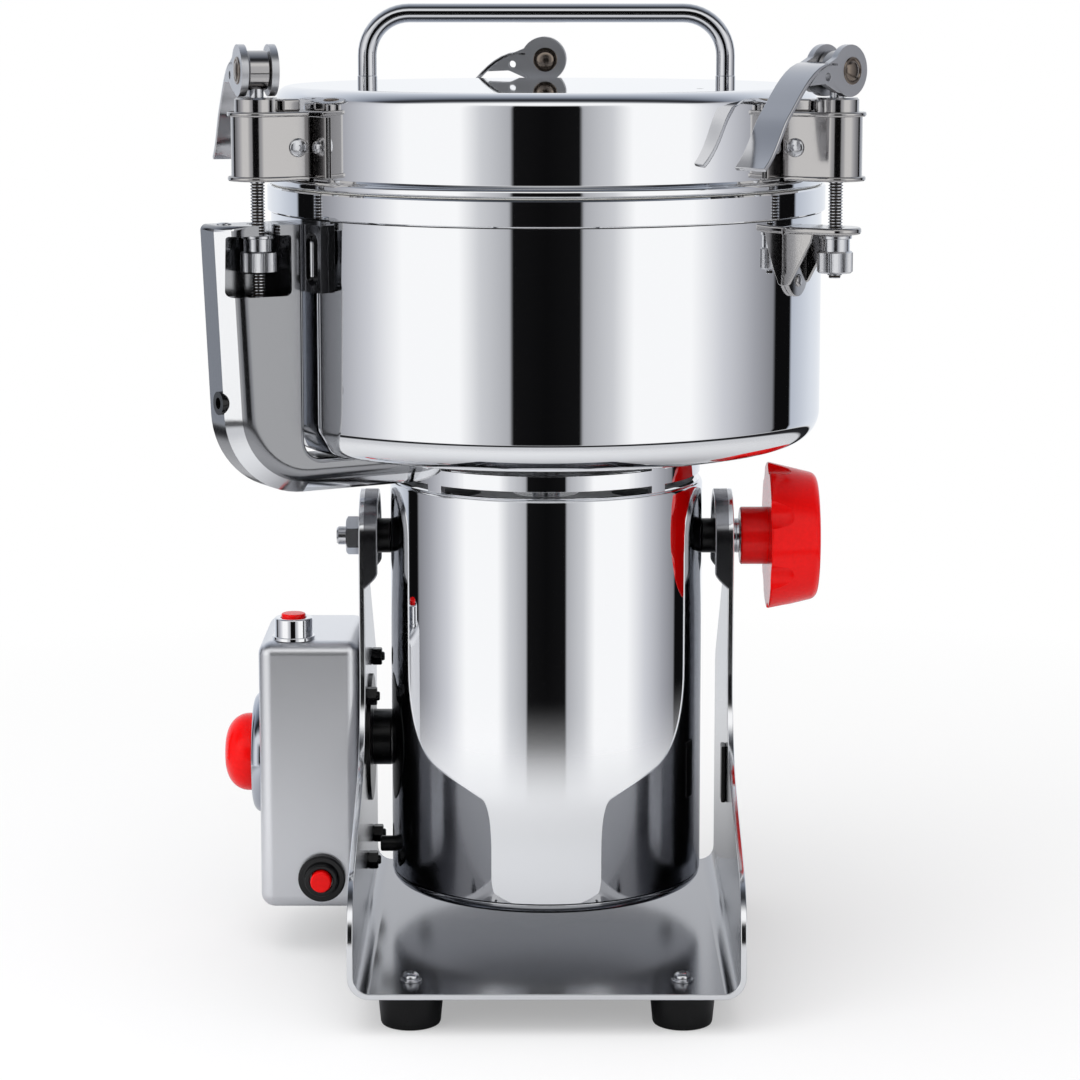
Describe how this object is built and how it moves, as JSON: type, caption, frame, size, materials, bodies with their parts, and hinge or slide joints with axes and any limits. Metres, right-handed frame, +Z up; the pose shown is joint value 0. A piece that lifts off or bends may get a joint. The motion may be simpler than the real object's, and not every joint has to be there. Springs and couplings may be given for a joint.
{
  "type": "electric grain mill",
  "caption": "Tilting electric grain mill: polished bowl with clamped lid and blades over a motor housing, in a U-shaped frame with lock knob and control box.",
  "frame": {"origin": "on the surface that the feet stand on, under the middle of the whole mill's footprint box; the motor axis stands 6.2 mm to +X and 10.4 mm to -Y of it", "axes": "+Z up along the motor axis, -Y to the front that the picture shows, +X to the lock knob's side"},
  "size_m": [0.2721, 0.2746, 0.412],
  "materials": {
    "mirror_steel": "mirror polish",
    "satin_steel": "satin",
    "fastener_steel": "bright",
    "black_rubber": "matt",
    "black_plastic": "soft gloss",
    "red_plastic": "gloss",
    "cream_plastic": "matt",
    "white_silicone": "matt",
    "lamination_steel": "stacked sheet",
    "copper": "enamelled wire",
    "cast_aluminium": "as cast",
    "carbon": "matt"
  },
  "bodies": {
    "base": {"base_frame": "satin_steel", "rubber_feet": "black_rubber", "frame_screws": "fastener_steel", "control_box_shell": "satin_steel", "timer_bezel": "satin_steel", "timer_switch": "cream_plastic", "button_ring": "mirror_steel", "overload_collar": "black_plastic", "cord_gland": "black_rubber", "side_buffer": "black_rubber"},
    "timer_knob": {"timer_knob": "red_plastic"},
    "start_button": {"start_button": "red_plastic"},
    "overload_button": {"overload_button": "red_plastic"},
    "motor_unit": {"housing_shell": "mirror_steel", "housing_base": "mirror_steel", "vent_collar": "mirror_steel", "stop_stub": "black_rubber", "pivot_bolt": "fastener_steel", "pivot_bushes": "black_rubber", "stator_core": "lamination_steel", "stator_windings": "copper", "upper_bracket": "cast_aluminium", "lower_bracket": "cast_aluminium", "bearings": "fastener_steel", "brush_holders": "black_plastic", "carbon_brushes": "carbon", "bowl": "mirror_steel", "bowl_band": "mirror_steel", "shaft_seal": "black_rubber", "clamp_seats": "mirror_steel", "switch_arm": "satin_steel", "arm_grommet": "black_rubber", "safety_switch": "black_plastic", "switch_cable": "black_rubber", "lock_washers": "fastener_steel"},
    "safety_plunger": {"safety_plunger": "red_plastic"},
    "rotor": {"motor_shaft": "fastener_steel", "armature_core": "lamination_steel", "commutator": "copper", "cooling_fan": "black_plastic", "lower_blade": "fastener_steel", "upper_blade": "fastener_steel", "blade_spacer": "fastener_steel", "blade_nut": "fastener_steel"},
    "lock_knob": {"lock_knob": "red_plastic", "lock_stud": "fastener_steel"},
    "lid": {"lid_shell": "mirror_steel", "lid_handle": "mirror_steel", "lid_gasket": "white_silicone", "clamp_brackets": "mirror_steel", "bracket_screws": "fastener_steel", "clamp_rod_left": "mirror_steel", "clamp_rod_right": "mirror_steel", "clamp_rod_rear": "mirror_steel"},
    "lever_left": {"clamp_lever_left": "mirror_steel"},
    "nut_left": {"clamp_nut_left": "mirror_steel"},
    "lever_right": {"clamp_lever_right": "mirror_steel"},
    "nut_right": {"clamp_nut_right": "mirror_steel"},
    "lever_rear": {"clamp_lever_rear": "mirror_steel"},
    "nut_rear": {"clamp_nut_rear": "mirror_steel"}
  },
  "joints": [
    {"name": "tilt", "type": "hinge", "parent": "base", "child": "motor_unit", "pos_m": [0.00624, -0.01035, 0.183], "axis": [1, 0, 0], "range_deg": [0, 90]},
    {"name": "timer_turn", "type": "hinge", "parent": "base", "child": "timer_knob", "pos_m": [-0.12876, 0.00265, 0.0835], "axis": [-1, 0, 0], "range_deg": [0, 300]},
    {"name": "start_press", "type": "slide", "parent": "base", "child": "start_button", "axis": [0, 0, -1], "range_m": [0, 0.002], "stiffness_N_per_m": 600},
    {"name": "overload_press", "type": "slide", "parent": "base", "child": "overload_button", "axis": [0, 1, 0], "range_m": [0, 0.002], "stiffness_N_per_m": 600},
    {"name": "safety_press", "type": "slide", "parent": "motor_unit", "child": "safety_plunger", "axis": [0, 0, -1], "range_m": [0, 0.002], "stiffness_N_per_m": 400},
    {"name": "blade_spin", "type": "hinge", "parent": "motor_unit", "child": "rotor", "pos_m": [0.00624, -0.01035, 0.122], "axis": [0, 0, 1], "continuous": true},
    {"name": "lock_turn", "type": "hinge", "parent": "motor_unit", "child": "lock_knob", "pos_m": [0.09624, -0.01035, 0.183], "axis": [1, 0, 0], "range_deg": [0, 360]},
    {"name": "lid_lift", "type": "slide", "parent": "motor_unit", "child": "lid", "axis": [0, 0, 1], "range_m": [0, 0.15]},
    {"name": "lever_left_swing", "type": "hinge", "parent": "lid", "child": "lever_left", "pos_m": [-0.11128, -0.0782, 0.3855], "axis": [0.9563, 0.2924, 0], "range_deg": [0, 100]},
    {"name": "nut_left_turn", "type": "hinge", "parent": "motor_unit", "child": "nut_left", "pos_m": [-0.11128, -0.0782, 0.31], "axis": [0, 0, 1], "continuous": true},
    {"name": "lever_right_swing", "type": "hinge", "parent": "lid", "child": "lever_right", "pos_m": [0.12376, -0.0782, 0.3855], "axis": [-0.7193, 0.6947, 0], "range_deg": [0, 100]},
    {"name": "nut_right_turn", "type": "hinge", "parent": "motor_unit", "child": "nut_right", "pos_m": [0.12376, -0.0782, 0.31], "axis": [0, 0, 1], "continuous": true},
    {"name": "lever_rear_swing", "type": "hinge", "parent": "lid", "child": "lever_rear", "pos_m": [0.00624, 0.12535, 0.3855], "axis": [0.0349, 0.9994, 0], "range_deg": [0, 100]},
    {"name": "nut_rear_turn", "type": "hinge", "parent": "motor_unit", "child": "nut_rear", "pos_m": [0.00624, 0.12535, 0.31], "axis": [0, 0, 1], "continuous": true}
  ]
}
